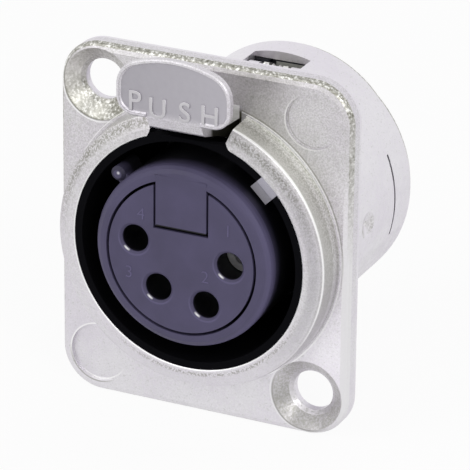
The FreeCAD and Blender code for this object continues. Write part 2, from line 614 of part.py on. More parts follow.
def lever_arm():
    """The long arm, from the knuckles to the chin that leans back under the tab."""
    front_y = TAB_FACE_Y + TAB_DISH_DEPTH
    back_y = TAB_FACE_Y + TAB_THICKNESS
    rise_y = FLANGE_FRONT_Y - 0.6
    points = [(PIVOT_Y, LEVER_UNDERSIDE_Z), (rise_y, LEVER_UNDERSIDE_Z),
              (rise_y - 1.4, LEVER_UNDERSIDE_Z + 0.65), (front_y + CHIN_LEAN + 0.25, CHIN_Z - 0.08),
              (front_y + CHIN_LEAN, CHIN_Z + 0.12), (front_y, CHIN_TOP_Z),
              (front_y, TAB_BOTTOM_Z + TAB_RIM * 2), (back_y, TAB_BOTTOM_Z + 1.9),
              (rise_y - 0.9, LEVER_TOP_Z + 0.7), (rise_y, LEVER_TOP_Z + LEVER_STEP),
              (FLANGE_FRONT_Y + 2.2, LEVER_TOP_Z), (PIVOT_Y, LEVER_TOP_Z)]
    return pressed_x(points, LEVER_WIDTH)


def lever_hook():
    """The tooth that drops into the plug shell's notch."""
    front_y = HOOK_REAR_Y - HOOK_LENGTH
    points = [(HOOK_REAR_Y, LEVER_TOP_Z - 0.3), (HOOK_REAR_Y, HOOK_TIP_Z), (front_y, HOOK_TIP_Z),
              (front_y - HOOK_RAMP, LEVER_UNDERSIDE_Z), (front_y - HOOK_RAMP, LEVER_TOP_Z - 0.3)]
    return pressed_x(points, HOOK_WIDTH)


def latch_lever():
    """The die-cast lever: tab, arm, hook and the forked knuckles round the pin."""
    knuckles = rod_x(KNUCKLE_RADIUS, -LEVER_WIDTH / 2, LEVER_WIDTH / 2, PIVOT_Y, PIVOT_Z)
    solid = lever_arm().fuse([tab_plate(), lever_hook(), knuckles])
    coil_outer = SPRING_COIL_RADIUS + SPRING_WIRE_RADIUS
    fork_front = PIVOT_Y - coil_outer - 0.25
    groove_floor = PIVOT_Z + SPRING_COIL_RADIUS - SPRING_WIRE_RADIUS - SPRING_SEAT_GAP
    leg_x = front_leg_x()
    groove_half = SPRING_WIRE_RADIUS + 0.12
    cuts = [rod_x(PIN_RADIUS + PIN_RUNNING_FIT, -FAR, FAR, PIVOT_Y, PIVOT_Z),
            middle_block(FORK_GAP, (fork_front, PIVOT_Y + 5), (0, FAR)),
            block((leg_x - groove_half, leg_x + groove_half), (SPRING_FRONT_LEG_Y - 0.3, PIVOT_Y),
                  (groove_floor, FAR))]
    return solid.cut(cuts).removeSplitter()


def latch_pin():
    """The plain cross pin."""
    pin = rod_x(PIN_RADIUS, -PIN_LENGTH / 2, PIN_LENGTH / 2, PIVOT_Y, PIVOT_Z)
    return pin.makeChamfer(0.1, [e for e in pin.Edges if e.BoundBox.XLength < 1e-4])


def spring_coil(start_angle):
    """The coil, wound about X from the left; the angle counts from the bottom towards the rear."""
    turns = SPRING_TURNS + (180 - start_angle) / 360
    helix = Part.makeHelix(SPRING_PITCH, turns * SPRING_PITCH, SPRING_COIL_RADIUS)
    heading = vec(0, SPRING_COIL_RADIUS, SPRING_PITCH / (2 * math.pi))
    ring = Part.makeCircle(SPRING_WIRE_RADIUS, vec(SPRING_COIL_RADIUS, 0, 0), heading)
    corners = ring.discretize(6)
    coil = Part.Wire(helix.Edges).makePipeShell([Part.makePolygon(corners)], True, True)
    coil.rotate(vec(0, 0, 0), AXIS_Z, start_angle)
    coil.rotate(vec(0, 0, 0), AXIS_Y, 90)
    coil.translate(vec(SPRING_LEFT_X, PIVOT_Y, PIVOT_Z))
    return coil


def spring_leg(start, end):
    """A straight leg and the short stub along X that joins it to the coil's end."""
    heading = end.sub(start).normalize()
    root = start.add(heading * (SPRING_WIRE_RADIUS / 2))
    leg = Part.makeCylinder(SPRING_WIRE_RADIUS, end.sub(root).Length, root, heading)
    stub_radius = SPRING_WIRE_RADIUS * 1.15
    return [rod_x(stub_radius, start.x - stub_radius, start.x + stub_radius, start.y, start.z), leg]


def rear_leg_ends():
    """Where the rear leg leaves the coil and where its tip rests on the insulator."""
    angle = math.radians(180 - SPRING_REAR_LEG_SLOPE)
    start = vec(SPRING_LEFT_X, PIVOT_Y + SPRING_COIL_RADIUS * math.sin(angle),
                PIVOT_Z - SPRING_COIL_RADIUS * math.cos(angle))
    drop = (SPRING_REAR_LEG_Y - start.y) * math.tan(math.radians(SPRING_REAR_LEG_SLOPE))
    return start, vec(SPRING_LEFT_X, SPRING_REAR_LEG_Y, start.z - drop)


def front_leg_x():
    """The X of the front leg, which leaves the coil's right-hand end along its top."""
    return SPRING_LEFT_X + (SPRING_TURNS + SPRING_REAR_LEG_SLOPE / 360) * SPRING_PITCH


def latch_spring():
    """A torsion spring: a coil round the pin with one leg on the lever and one on the insulator."""
    coil = spring_coil(180 - SPRING_REAR_LEG_SLOPE)
    top = PIVOT_Z + SPRING_COIL_RADIUS
    front = spring_leg(vec(front_leg_x(), PIVOT_Y, top), vec(front_leg_x(), SPRING_FRONT_LEG_Y, top))
    rear = spring_leg(*rear_leg_ends())
    for piece in front + rear:
        coil = coil.fuse(piece)
    return coil


def write_part(name, shape):
    """Save one sub-part under its node's name."""
    shape.exportStep("parts/" + name + ".step")


def main():
    os.makedirs("parts", exist_ok=True)
    pieces = {"housing": housing(), "bore_liner": bore_liner(), "insert_sleeve": insert_sleeve(),
              "contact_holder": contact_holder(), "rear_insulator": rear_insulator(),
              "ground_contact": ground_contact(), "latch_lever": latch_lever(), "latch_pin": latch_pin(),
              "latch_spring": latch_spring()}
    for name in CONTACT_PLACES:
        pieces[name] = contact(name)
    for name, shape in pieces.items():
        solids = shape.Solids
        print(name, shape.isValid(), len(solids), round(shape.Volume, 2))
        write_part(name, shape)


main()
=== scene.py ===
"""Looks for a four-contact female panel socket with a push latch.

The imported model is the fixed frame, in metres: X is right as seen from the front, +Y runs
rearward through the panel and +Z is up. Where a piece's own places and widths are easier to read
in millimetres, MM turns them into metres.
"""

import math

import bmesh
import bpy
from mathutils import Matrix, Vector


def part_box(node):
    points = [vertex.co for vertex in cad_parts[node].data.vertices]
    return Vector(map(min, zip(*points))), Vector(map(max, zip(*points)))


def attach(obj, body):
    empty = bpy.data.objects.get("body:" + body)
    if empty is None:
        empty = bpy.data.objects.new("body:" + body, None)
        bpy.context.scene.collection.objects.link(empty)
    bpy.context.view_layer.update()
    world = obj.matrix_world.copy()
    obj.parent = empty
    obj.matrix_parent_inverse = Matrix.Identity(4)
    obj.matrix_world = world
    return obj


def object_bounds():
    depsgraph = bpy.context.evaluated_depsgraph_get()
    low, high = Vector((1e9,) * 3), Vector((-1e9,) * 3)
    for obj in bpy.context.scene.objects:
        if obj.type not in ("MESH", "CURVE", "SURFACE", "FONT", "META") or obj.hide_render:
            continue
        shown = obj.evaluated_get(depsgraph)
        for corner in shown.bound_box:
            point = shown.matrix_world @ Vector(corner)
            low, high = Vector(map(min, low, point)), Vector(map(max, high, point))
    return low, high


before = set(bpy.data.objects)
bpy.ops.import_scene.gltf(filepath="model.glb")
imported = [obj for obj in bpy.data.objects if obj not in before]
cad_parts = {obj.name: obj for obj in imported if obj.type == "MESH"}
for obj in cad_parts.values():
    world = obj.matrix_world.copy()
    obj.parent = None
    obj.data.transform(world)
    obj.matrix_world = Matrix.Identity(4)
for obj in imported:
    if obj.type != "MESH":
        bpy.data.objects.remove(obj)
CAD_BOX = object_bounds()

bl_info = {
    "name": "Panel socket finish",
    "version": (1, 0, 0),
    "blender": (4, 5, 0),
    "location": "3D View > Sidebar > Panel socket",
    "description": "Finishes, raised characters and a studio for a latched panel socket",
    "category": "Object",
}

MM = 0.001
FACING_FRONT = (math.radians(90), 0, 0)

# The rounding of a raised character's edge, as a part of its relief
TEXT_BEVEL = 0.25

CONTACT_NODES = ("contact_1", "contact_2", "contact_3", "contact_4")
FLANGE_FRONT_Y = -2 * MM

# The photograph's camera, for a picture of 470 x 470
PHOTO_PIXELS = 470
PHOTO_AZIMUTH = 25.52
PHOTO_ELEVATION = 23.42
PHOTO_ROLL = 0.42
PHOTO_DISTANCE = 0.330
PHOTO_FOCAL_PIXELS = 12.31 * 330
PHOTO_TARGET_PIXEL = (202.81, 240.47)
SENSOR_WIDTH = 36.0
CLIP_START = 0.01

# How far the floor shows as plain white, so that the object keeps a faint shadow on it
FLOOR_WHITE = 0.92


# Settings that a user would change

class SocketFinish(bpy.types.PropertyGroup):
    """Colours of the socket's finishes and of its painted shade"""

    cast_colour: bpy.props.FloatVectorProperty(
        name="Cast metal", description="Colour of the plated castings", subtype="COLOR",
        size=3, min=0, max=1, default=(0.77, 0.755, 0.785))
    cast_tint: bpy.props.FloatVectorProperty(
        name="Cast tint", description="Faint violet cast in the plating's patches", subtype="COLOR",
        size=3, min=0, max=1, default=(0.74, 0.71, 0.765))
    pit_colour: bpy.props.FloatVectorProperty(
        name="Cast pits", description="Colour of the pits in the castings' skin", subtype="COLOR",
        size=3, min=0, max=1, default=(0.16, 0.155, 0.125))
    # Painted shade: the darker tone of the castings' bevels and cones under their grain
    painted_bevel_shade: bpy.props.FloatVectorProperty(
        name="Cast bevels", description="Colour under the grain on bevels and cones",
        subtype="COLOR", size=3, min=0, max=1, default=(0.46, 0.455, 0.41))
    upper_shade: bpy.props.FloatVectorProperty(
        name="Upper shade", description="Shade laid on the flange's front towards its top",
        subtype="COLOR", size=3, min=0, max=1, default=(0.96, 0.96, 0.94))
    insert_colour: bpy.props.FloatVectorProperty(
        name="Insert", description="Colour of the moulded insert", subtype="COLOR",
        size=3, min=0, max=1, default=(0.069, 0.061, 0.116))
    rear_colour: bpy.props.FloatVectorProperty(
        name="Rear insulator", description="Colour of the moulding behind", subtype="COLOR",
        size=3, min=0, max=1, default=(0.020, 0.020, 0.024))
    # Near-black: the lining's own dark plastic, darkened further as painted shade in the mouth's
    # gap
    liner_colour: bpy.props.FloatVectorProperty(
        name="Bore lining", description="Colour of the dark lining in the mouth", subtype="COLOR",
        size=3, min=0, max=1, default=(0.003, 0.003, 0.004))
    contact_colour: bpy.props.FloatVectorProperty(
        name="Contacts", description="Colour of the plated contacts", subtype="COLOR",
        size=3, min=0, max=1, default=(0.92, 0.91, 0.93))
    strip_colour: bpy.props.FloatVectorProperty(
        name="Ground strip", description="Colour of the plated strip", subtype="COLOR",
        size=3, min=0, max=1, default=(0.58, 0.565, 0.62))
    letter_colour: bpy.props.FloatVectorProperty(
        name="Tab letters", description="Colour of the raised letters on the tab", subtype="COLOR",
        size=3, min=0, max=1, default=(0.60, 0.585, 0.61))
    # Painted shade: the darker tone of the tab's sunk face
    dish_shade_colour: bpy.props.FloatVectorProperty(
        name="Tab dish", description="Colour of the sunk face of the tab", subtype="COLOR",
        size=3, min=0, max=1, default=(0.42, 0.405, 0.44))


class SocketLettering(bpy.types.PropertyGroup):
    """Raised characters on the tab and on the insert"""

    word: bpy.props.StringProperty(
        name="Word", description="Generic word on the tab", default="PUSH")
    word_height: bpy.props.FloatProperty(
        name="Word height", description="Size of the letters on the tab", unit="LENGTH",
        min=0.2 * MM, max=4 * MM, default=2.4 * MM)
    word_relief: bpy.props.FloatProperty(
        name="Word relief", description="How far the letters stand out of the tab", unit="LENGTH",
        min=0.02 * MM, max=0.4 * MM, default=0.07 * MM)
    numeral_height: bpy.props.FloatProperty(
        name="Numeral height", description="Size of the contact numerals", unit="LENGTH",
        min=0.2 * MM, max=3 * MM, default=1.5 * MM)
    numeral_relief: bpy.props.FloatProperty(
        name="Numeral relief", description="How far the numerals stand out of the insert",
        unit="LENGTH", min=0.01 * MM, max=0.2 * MM, default=0.05 * MM)


class SocketStage(bpy.types.PropertyGroup):
    """The floor, the lamps and the world"""

    floor_size: bpy.props.FloatProperty(
        name="Floor size", description="Side of the square floor", unit="LENGTH",
        min=0.1, max=10, default=3.0)
    key_power: bpy.props.FloatProperty(
        name="Key lamp", description="Power of the large lamp at the upper left", unit="POWER",
        min=0, max=20, default=0.9)
    fill_power: bpy.props.FloatProperty(
        name="Fill lamp", description="Power of the lamp at the right", unit="POWER",
        min=0, max=20, default=0.35)
    glint_power: bpy.props.FloatProperty(
        name="Glint lamp", description="Power of the small lamp at the upper right", unit="POWER",
        min=0, max=20, default=0.5)
    room_level: bpy.props.FloatProperty(
        name="Room level", description="Strength of the light from all round",
        min=0, max=2, default=0.62)


# Node helpers

def link(tree, source, target):
    """Join two sockets."""
    tree.links.new(source, target)


def socket_kind(value):
    """The kind of group socket that a default value asks for; None stands for a vector."""
    if value is None or isinstance(value, tuple) and len(value) == 3:
        return "NodeSocketVector"
    return "NodeSocketColor" if isinstance(value, tuple) else "NodeSocketFloat"


def new_group(name, inputs, outputs):
    """An empty shader node group with named sockets: its tree, what it is given and its results.

    An output's value only tells its kind.
    """
    tree = bpy.data.node_groups.new(name, "ShaderNodeTree")
    for label, value in inputs.items():
        socket = tree.interface.new_socket(label, in_out="INPUT", socket_type=socket_kind(value))
        if value is not None:
            socket.default_value = value
    for label, value in outputs.items():
        tree.interface.new_socket(label, in_out="OUTPUT", socket_type=socket_kind(value))
    given = tree.nodes.new("NodeGroupInput").outputs
    return tree, given, tree.nodes.new("NodeGroupOutput").inputs


def feed(tree, value, socket):
    """Set a socket to a number, or join another socket to it."""
    if isinstance(value, (int, float)):
        socket.default_value = value
    else:
        link(tree, value, socket)


def noise(tree, vector, scale, detail=2.0, roughness=0.5):
    """A noise texture read at a vector; scale is a number or a socket."""
    node = tree.nodes.new("ShaderNodeTexNoise")
    node.inputs["Detail"].default_value = detail
    node.inputs["Roughness"].default_value = roughness
    link(tree, vector, node.inputs["Vector"])
    feed(tree, scale, node.inputs["Scale"])
    return node.outputs["Fac"]


def math_node(tree, operation, first, second=0):
    """A math node of one or two values; each is a number or a socket."""
    node = tree.nodes.new("ShaderNodeMath")
    node.operation = operation
    feed(tree, first, node.inputs[0])
    feed(tree, second, node.inputs[1])
    return node.outputs[0]


def product(tree, first, *others):
    """The product of several numbers or sockets."""
    for other in others:
        first = math_node(tree, "MULTIPLY", first, other)
    return first


def remap(tree, value, low, high, to_low, to_high):
    """Map one range of values to another, held at its ends."""
    node = tree.nodes.new("ShaderNodeMapRange")
    node.clamp = True
    link(tree, value, node.inputs["Value"])
    ends = {"From Min": low, "From Max": high, "To Min": to_low, "To Max": to_high}
    for label, number in ends.items():
        feed(tree, number, node.inputs[label])
    return node.outputs["Result"]


def mix_colour(tree, factor, first, second, blend="MIX"):
    """Mix two colour sockets; factor is a number or a socket."""
    node = tree.nodes.new("ShaderNodeMix")
    node.data_type = "RGBA"
    node.blend_type = blend
    feed(tree, factor, node.inputs[0])
    link(tree, first, node.inputs[6])
    link(tree, second, node.inputs[7])
    return node.outputs[2]


def laid_over(tree, factor, colour, tone, as_shade):
    """Colour with a tone over it, which replaces it or, as a shade, multiplies it."""
    shaded = mix_colour(tree, 1.0, colour, tone, "MULTIPLY")
    return mix_colour(tree, factor, colour, mix_colour(tree, as_shade, tone, shaded))


def separate(tree, vector):
    """The three parts of a vector socket, by the names X, Y and Z."""
    node = tree.nodes.new("ShaderNodeSeparateXYZ")
    link(tree, vector, node.inputs[0])
    return node.outputs


def from_axis(tree, across, upward):
    """The distance from an axis that runs along Y."""
    squares = [product(tree, part, part) for part in (across, upward)]
    return math_node(tree, "SQRT", math_node(tree, "ADD", *squares))


# Node groups

GREY = (0.6, 0.6, 0.6, 1.0)
SKIN_OUTPUTS = {"Colour": GREY, "Roughness": 0.5, "Height": 0.0}

# Noise values between which a trait of the castings' skin, or its painted glints, sets in
PATCHES = (0.85, 1.15)
SAND = (0.36, 0.64)
PAINTED_GLINT_RANGE = (0.54, 0.63)
GLOSS = (0.3, 0.7)
PIT_FLOOR = 0.30
PIT_EDGE = 0.42
PIT_DEPTH = 0.2

# What bevels and cones add to the pits, and how strong their painted shade and painted glints are
BEVEL_PIT_EDGE = 0.15
BEVEL_PIT_DEPTH = 0.7
BEVEL_SHADE = 0.8
BEVEL_PAINTED_GLINTS = 0.7

# The part of a normal along Y, or upward, between which bevels and cones lie
OFF_FRONT = (0.80, 0.94)
OFF_SIDE = (0.10, 0.35)
UPWARD = (-0.2, 0.3)
LEAST_UPWARD = 0.4

# Noise scales of the larger clouds, and of coarse grain and sand against the fine grain
METAL_CLOUDS = 160.0
PLASTIC_CLOUDS = 320.0
COARSE_SHARE = 0.35
SAND_SHARE = 1.7

# Detail and roughness of the noises that aren't plain
FINE_NOISE = (3.0, 0.6)
SAND_NOISE = (2.0, 0.7)
PLASTIC_NOISE = (3.0, 0.55)

# The coarse grain's part in the castings' height, and the most that a moulding is worn
COARSE_HEIGHT = 0.8
MOST_WORN = 0.6

# Noise values between which a broken ring's flecks set in
FLECKS = (0.44, 0.56)


def cast_grain_group():
    """Plated die-cast skin: patches, sand and pits, with painted shade and painted glints on bevels
    and cones.
    """
    name = "Cast grain"
    if name in bpy.data.node_groups:
        return bpy.data.node_groups[name]
    tree, given, result = new_group(
        name,
        {"Vector": None, "Normal": None, "Colour": GREY, "Patch colour": (0.6, 0.6, 0.65, 1),
         "Pit colour": (0.3, 0.3, 0.3, 1), "Painted glint colour": (0.9, 0.9, 0.9, 1),
         "Painted bevel shade": (0.5, 0.5, 0.5, 1), "Grain scale": 4200.0, "Bevel grain and shade": 0.0,
         "Faint grain": 0.3, "Grain low": -0.009, "Grain high": 0.006, "Calm radius": 0.0125,
         "Calm rear": -0.00205, "Mottle": 0.30, "Mottle rear": -0.0005, "Smoothest": 0.3,
         "Roughest": 0.5},
        SKIN_OUTPUTS)
    vector = given["Vector"]
    fine = noise(tree, vector, given["Grain scale"], *FINE_NOISE)
    coarse = noise(tree, vector, product(tree, given["Grain scale"], COARSE_SHARE))
    sand = noise(tree, vector, product(tree, given["Grain scale"], SAND_SHARE), *SAND_NOISE)
    cloud = noise(tree, vector, METAL_CLOUDS)
    place = separate(tree, vector)
    normal = separate(tree, given["Normal"])

    square = math_node(tree, "ABSOLUTE", normal["Y"])
    off_front = remap(tree, square, *OFF_FRONT, 1.0, 0.0)
    off_side = remap(tree, square, *OFF_SIDE, 0.0, 1.0)
    # Stronger towards the top: the mottle and, on bevels and cones, the pits, painted shade and
    # painted glints
    by_height = remap(tree, place["Z"], given["Grain low"], given["Grain high"],
                      given["Faint grain"], 1.0)
    by_slope = remap(tree, normal["Z"], *UPWARD, LEAST_UPWARD, 1.0)
    reach = from_axis(tree, place["X"], place["Z"])
    outside = math_node(tree, "GREATER_THAN", reach, given["Calm radius"])
    behind = math_node(tree, "GREATER_THAN", place["Y"], given["Calm rear"])
    # Bevels and cones turned from the front and the side, more where they face up, but not on the
    # collar: painted shade and painted glints
    bevel = product(tree, off_front, off_side, given["Bevel grain and shade"], by_height, by_slope,
                    math_node(tree, "MAXIMUM", outside, behind))

    patch = remap(tree, math_node(tree, "ADD", cloud, fine), *PATCHES, 0.0, 1.0)
    sanded = product(tree, remap(tree, sand, *SAND, given["Mottle"], 0.0), by_height,
                     math_node(tree, "LESS_THAN", place["Y"], given["Mottle rear"]))
    pit_edge = math_node(tree, "ADD", product(tree, bevel, BEVEL_PIT_EDGE), PIT_EDGE)
    pit_depth = math_node(tree, "ADD", product(tree, bevel, BEVEL_PIT_DEPTH), PIT_DEPTH)
    pits = remap(tree, fine, PIT_FLOOR, pit_edge, pit_depth, 0.0)
    painted_glints = remap(tree, fine, *PAINTED_GLINT_RANGE, 0.0, product(tree, bevel, BEVEL_PAINTED_GLINTS))

    colour = mix_colour(tree, patch, given["Colour"], given["Patch colour"])
    colour = mix_colour(tree, sanded, colour, given["Pit colour"])
    colour = mix_colour(tree, product(tree, bevel, BEVEL_SHADE), colour, given["Painted bevel shade"])
    colour = mix_colour(tree, pits, colour, given["Pit colour"])
    colour = mix_colour(tree, painted_glints, colour, given["Painted glint colour"])
    link(tree, colour, result["Colour"])
    gloss = remap(tree, coarse, *GLOSS, given["Smoothest"], given["Roughest"])
    link(tree, gloss, result["Roughness"])
    height = math_node(tree, "ADD", fine, product(tree, coarse, COARSE_HEIGHT))
    link(tree, height, result["Height"])
    return tree


def moulded_skin_group():
    """Moulded plastic: faint texture, slightly uneven colour and a painted shade that deepens
    rearward.
    """
    name = "Moulded skin"
    if name in bpy.data.node_groups:
        return bpy.data.node_groups[name]
    tree, given, result = new_group(
        name,
        {"Vector": None, "Colour": (0.1, 0.1, 0.15, 1), "Worn colour": (0.15, 0.15, 0.2, 1),
         "Painted depth shade": (0, 0, 0, 1), "Texture scale": 5000.0, "Shade from": 1.0, "Shade to": 2.0,
         "Smoothest": 0.45, "Roughest": 0.65},
        SKIN_OUTPUTS)
    vector = given["Vector"]
    cloud = noise(tree, vector, PLASTIC_CLOUDS, *PLASTIC_NOISE)
    worn = remap(tree, cloud, *GLOSS, 0.0, MOST_WORN)
    surface = mix_colour(tree, worn, given["Colour"], given["Worn colour"])
    # Painted shade: the colour goes dark with depth behind the face
    rearward = separate(tree, vector)["Y"]
    depth = remap(tree, rearward, given["Shade from"], given["Shade to"], 0.0, 1.0)
    link(tree, mix_colour(tree, depth, surface, given["Painted depth shade"]), result["Colour"])
    gloss = remap(tree, cloud, *GLOSS, given["Smoothest"], given["Roughest"])
    link(tree, gloss, result["Roughness"])
    link(tree, noise(tree, vector, given["Texture scale"]), result["Height"])
    return tree


def ring_band_group():
    """A ring round an axis along Y, in front of a depth; whole, or on the side that it aims at."""
    name = "Ring band"
    if name in bpy.data.node_groups:
        return bpy.data.node_groups[name]
    tree, given, result = new_group(
        name,
        {"Vector": None, "Colour": GREY, "Band colour": (0.9, 0.9, 0.9, 1), "Centre X": 0.0,
         "Centre Z": 0.0, "Radius": 0.01, "Half width": 0.0001, "Core": 0.3, "Rear": 1.0,
         "Aim X": 1.0, "Aim Z": 0.0, "Aim from": -3.0, "Aim to": -2.0, "Broken": 0.0,
         "Fleck scale": 6500.0, "As shade": 0.0, "Strength": 1.0},
        {"Colour": GREY})
    place = separate(tree, given["Vector"])
    across = math_node(tree, "SUBTRACT", place["X"], given["Centre X"])
    upward = math_node(tree, "SUBTRACT", place["Z"], given["Centre Z"])
    reach = from_axis(tree, across, upward)
    off_line = math_node(tree, "ABSOLUTE", math_node(tree, "SUBTRACT", reach, given["Radius"]))
    core = product(tree, given["Half width"], given["Core"])
    ring = remap(tree, off_line, core, given["Half width"], 1.0, 0.0)
    along = math_node(tree, "ADD", product(tree, across, given["Aim X"]),
                      product(tree, upward, given["Aim Z"]))
    turn = math_node(tree, "DIVIDE", along, reach)
    aimed = remap(tree, turn, given["Aim from"], given["Aim to"], 0.0, 1.0)
    before = math_node(tree, "LESS_THAN", place["Y"], given["Rear"])
    grain = noise(tree, given["Vector"], given["Fleck scale"], *FINE_NOISE)
    flecks = remap(tree, grain, *FLECKS, 0.0, 1.0)
    whole = math_node(tree, "SUBTRACT", 1.0, given["Broken"])
    broken = math_node(tree, "MAXIMUM", whole, flecks)
    factor = product(tree, ring, aimed, before, broken, given["Strength"])
    link(tree, laid_over(tree, factor, given["Colour"], given["Band colour"], given["As shade"]),
         result["Colour"])
    return tree


def box_tone_group():
    """Another tone inside a soft-edged box, on surfaces that face a stated way."""
    name = "Box tone"
    if name in bpy.data.node_groups:
        return bpy.data.node_groups[name]
    tree, given, result = new_group(
        name,
        {"Vector": None, "Normal": None, "Colour": GREY, "Tone colour": (0.4, 0.4, 0.4, 1),
         "Low": (-1, -1, -1), "High": (1, 1, 1), "Edge": (0.0001, 0.0001, 0.0001),
         "Face": (0, 0, 0), "Face from": -3.0, "Face to": -2.0, "As shade": 0.0},
        {"Colour": GREY})
    labels = ("Vector", "Low", "High", "Edge")
    place, low, high, edge = [separate(tree, given[label]) for label in labels]
    factor = 1.0
    for axis in "XYZ":
        outer_low = math_node(tree, "SUBTRACT", low[axis], edge[axis])
        outer_high = math_node(tree, "ADD", high[axis], edge[axis])
        above = remap(tree, place[axis], outer_low, low[axis], 0.0, 1.0)
        below = remap(tree, place[axis], high[axis], outer_high, 1.0, 0.0)
        factor = product(tree, factor, above, below)
    turn = tree.nodes.new("ShaderNodeVectorMath")
    turn.operation = "DOT_PRODUCT"
    link(tree, given["Normal"], turn.inputs[0])
    link(tree, given["Face"], turn.inputs[1])
    faced = remap(tree, turn.outputs["Value"], given["Face from"], given["Face to"], 0.0, 1.0)
    factor = product(tree, factor, faced)
    link(tree, laid_over(tree, factor, given["Colour"], given["Tone colour"], given["As shade"]),
         result["Colour"])
    return tree


# Materials

def new_material(name):
    """A material with its Principled shader and the node that gives object-space places."""
    material = bpy.data.materials.new(name)
    material.use_nodes = True
    tree = material.node_tree
    return material, tree, tree.nodes["Principled BSDF"], tree.nodes.new("ShaderNodeTexCoord")


def group_node(tree, group, place, values):
    """A node for one group, fed with object-space places and normals and its own values."""
    node = tree.nodes.new("ShaderNodeGroup")
    node.node_tree = group
    link(tree, place.outputs["Object"], node.inputs["Vector"])
    if "Normal" in node.inputs:
        link(tree, place.outputs["Normal"], node.inputs["Normal"])
    for label, value in values.items():
        node.inputs[label].default_value = value
    return node


def grouped_material(name, group, values, metallic, gloss_level, bump_strength, bump_depth):
    """A material whose colour, roughness and bump come from one group with its own values."""
    material, tree, shader, place = new_material(name)
    node = group_node(tree, group, place, values)
    shader.inputs["Metallic"].default_value = metallic
    shader.inputs["Specular IOR Level"].default_value = gloss_level
    link(tree, node.outputs["Colour"], shader.inputs["Base Color"])
    link(tree, node.outputs["Roughness"], shader.inputs["Roughness"])
    bump = tree.nodes.new("ShaderNodeBump")
    bump.inputs["Strength"].default_value = bump_strength
    bump.inputs["Distance"].default_value = bump_depth
    link(tree, node.outputs["Height"], bump.inputs["Height"])
    link(tree, bump.outputs["Normal"], shader.inputs["Normal"])
    return material


def scaled(colour, factor):
    """A colour made lighter or darker by a factor."""
    return tuple(min(1.0, part * factor) for part in colour)


def rgba(colour, factor=1.0):
    """A four-part colour from a three-part one, made lighter or darker by factor."""
    return scaled(colour, factor) + (1.0,)


def cast_metal(name, grain_scale, smoothest, roughest, bevel_grain_and_shade, bump_strength):
    """The satin plated casting of the shell and the latch."""
    finish = bpy.context.scene.socket_finish
    values = {"Colour": rgba(finish.cast_colour), "Patch colour": rgba(finish.cast_tint),
              "Pit colour": rgba(finish.pit_colour), "Painted glint colour": rgba(finish.cast_colour, 1.4),
              "Painted bevel shade": rgba(finish.painted_bevel_shade), "Grain scale": grain_scale,
              "Bevel grain and shade": bevel_grain_and_shade, "Smoothest": smoothest, "Roughest": roughest}
    return grouped_material(name, cast_grain_group(), values, metallic=1.0, gloss_level=0.5,
                            bump_strength=bump_strength, bump_depth=0.03 * MM)


def plated_metal(name, colour, smoothest, roughest, metallic=1.0):
    """A smooth plated or drawn metal with a trace of grain."""
    values = {"Colour": rgba(colour), "Patch colour": rgba(colour, 0.9),
              "Pit colour": rgba(colour, 0.8), "Grain scale": 9000.0,
              "Smoothest": smoothest, "Roughest": roughest}
    return grouped_material(name, cast_grain_group(), values, metallic=metallic, gloss_level=0.5,
                            bump_strength=0.15, bump_depth=0.01 * MM)


def moulded_plastic(name, colour, smoothest, roughest, gloss_level=0.3, shade=(1.0, 2.0)):
    """A matte moulding; shade is the stretch of Y over which a painted shade makes it go dark."""
    values = {"Colour": rgba(colour), "Worn colour": rgba(colour, 1.45),
              "Painted depth shade": rgba(colour, 0.04), "Texture scale": 6000.0,
              "Shade from": shade[0], "Shade to": shade[1],
              "Smoothest": smoothest, "Roughest": roughest}
    return grouped_material(name, moulded_skin_group(), values, metallic=0.0,
                            gloss_level=gloss_level, bump_strength=0.25, bump_depth=0.02 * MM)


def overlay(material, group, values):
    """Lay one more group over the colour that a material has so far."""
    tree = material.node_tree
    base = tree.nodes["Principled BSDF"].inputs["Base Color"]
    place = next(node for node in tree.nodes if node.bl_idname == "ShaderNodeTexCoord")
    node = group_node(tree, group, place, values)
    link(tree, base.links[0].from_socket, node.inputs["Colour"])
    link(tree, node.outputs["Colour"], base)


def ring_band(material, colour, centre, radius, half_width, aim=None, rear=1000.0,
              core=0.3, broken=0.0, as_shade=0.0, strength=1.0):
    """Lay a ring on a material, in millimetres.

    aim is a direction in X and Z, then the cosines of the angles from it at which the ring starts
    and is full. rear is the depth behind which it ends. core is the full part of its half width.
    """
    values = {"Band colour": rgba(colour), "Centre X": centre[0] * MM, "Centre Z": centre[1] * MM,
              "Radius": radius * MM, "Half width": half_width * MM, "Rear": rear * MM,
              "Core": core, "Broken": broken, "As shade": as_shade, "Strength": strength}
    if aim:
        values.update(zip(("Aim X", "Aim Z", "Aim from", "Aim to"), aim))
    overlay(material, ring_band_group(), values)


def box_tone(material, colour, low, high, edge, face=None, as_shade=1.0):
    """Lay a tone on the surfaces in a box, in millimetres.

    face is the direction that they face, then the cosines of the angles from it at which the tone
    starts and is full. As a shade, a part of the colour above 1 makes the surface lighter.
    """
    values = {"Tone colour": tuple(colour) + (1.0,), "As shade": as_shade}
    for label, corner in (("Low", low), ("High", high), ("Edge", edge)):
        values[label] = [part * MM for part in corner]
    if face:
        values.update(zip(("Face", "Face from", "Face to"), face))
    overlay(material, box_tone_group(), values)


def dress(node, material):
    """Give a CAD node one material in all its slots."""
    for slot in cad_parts[node].material_slots:
        slot.material = material


# New pieces

def raised_text(name, text, height, relief, place, material, body, thinner):
    """One raised character that faces the front, its foot sunk a little into the surface."""
    curve = bpy.data.curves.new(name, "FONT")
    curve.body = text
    curve.size = height
    curve.align_x = "CENTER"
    curve.align_y = "CENTER"
    curve.extrude = relief / 2
    curve.offset = -thinner
    curve.bevel_depth = relief * TEXT_BEVEL
    curve.bevel_resolution = 2
    curve.resolution_u = 6
    piece = bpy.data.objects.new(name, curve)
    piece.rotation_euler = FACING_FRONT
    piece.location = place
    bpy.context.collection.objects.link(piece)
    curve.materials.append(material)
    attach(piece, body)


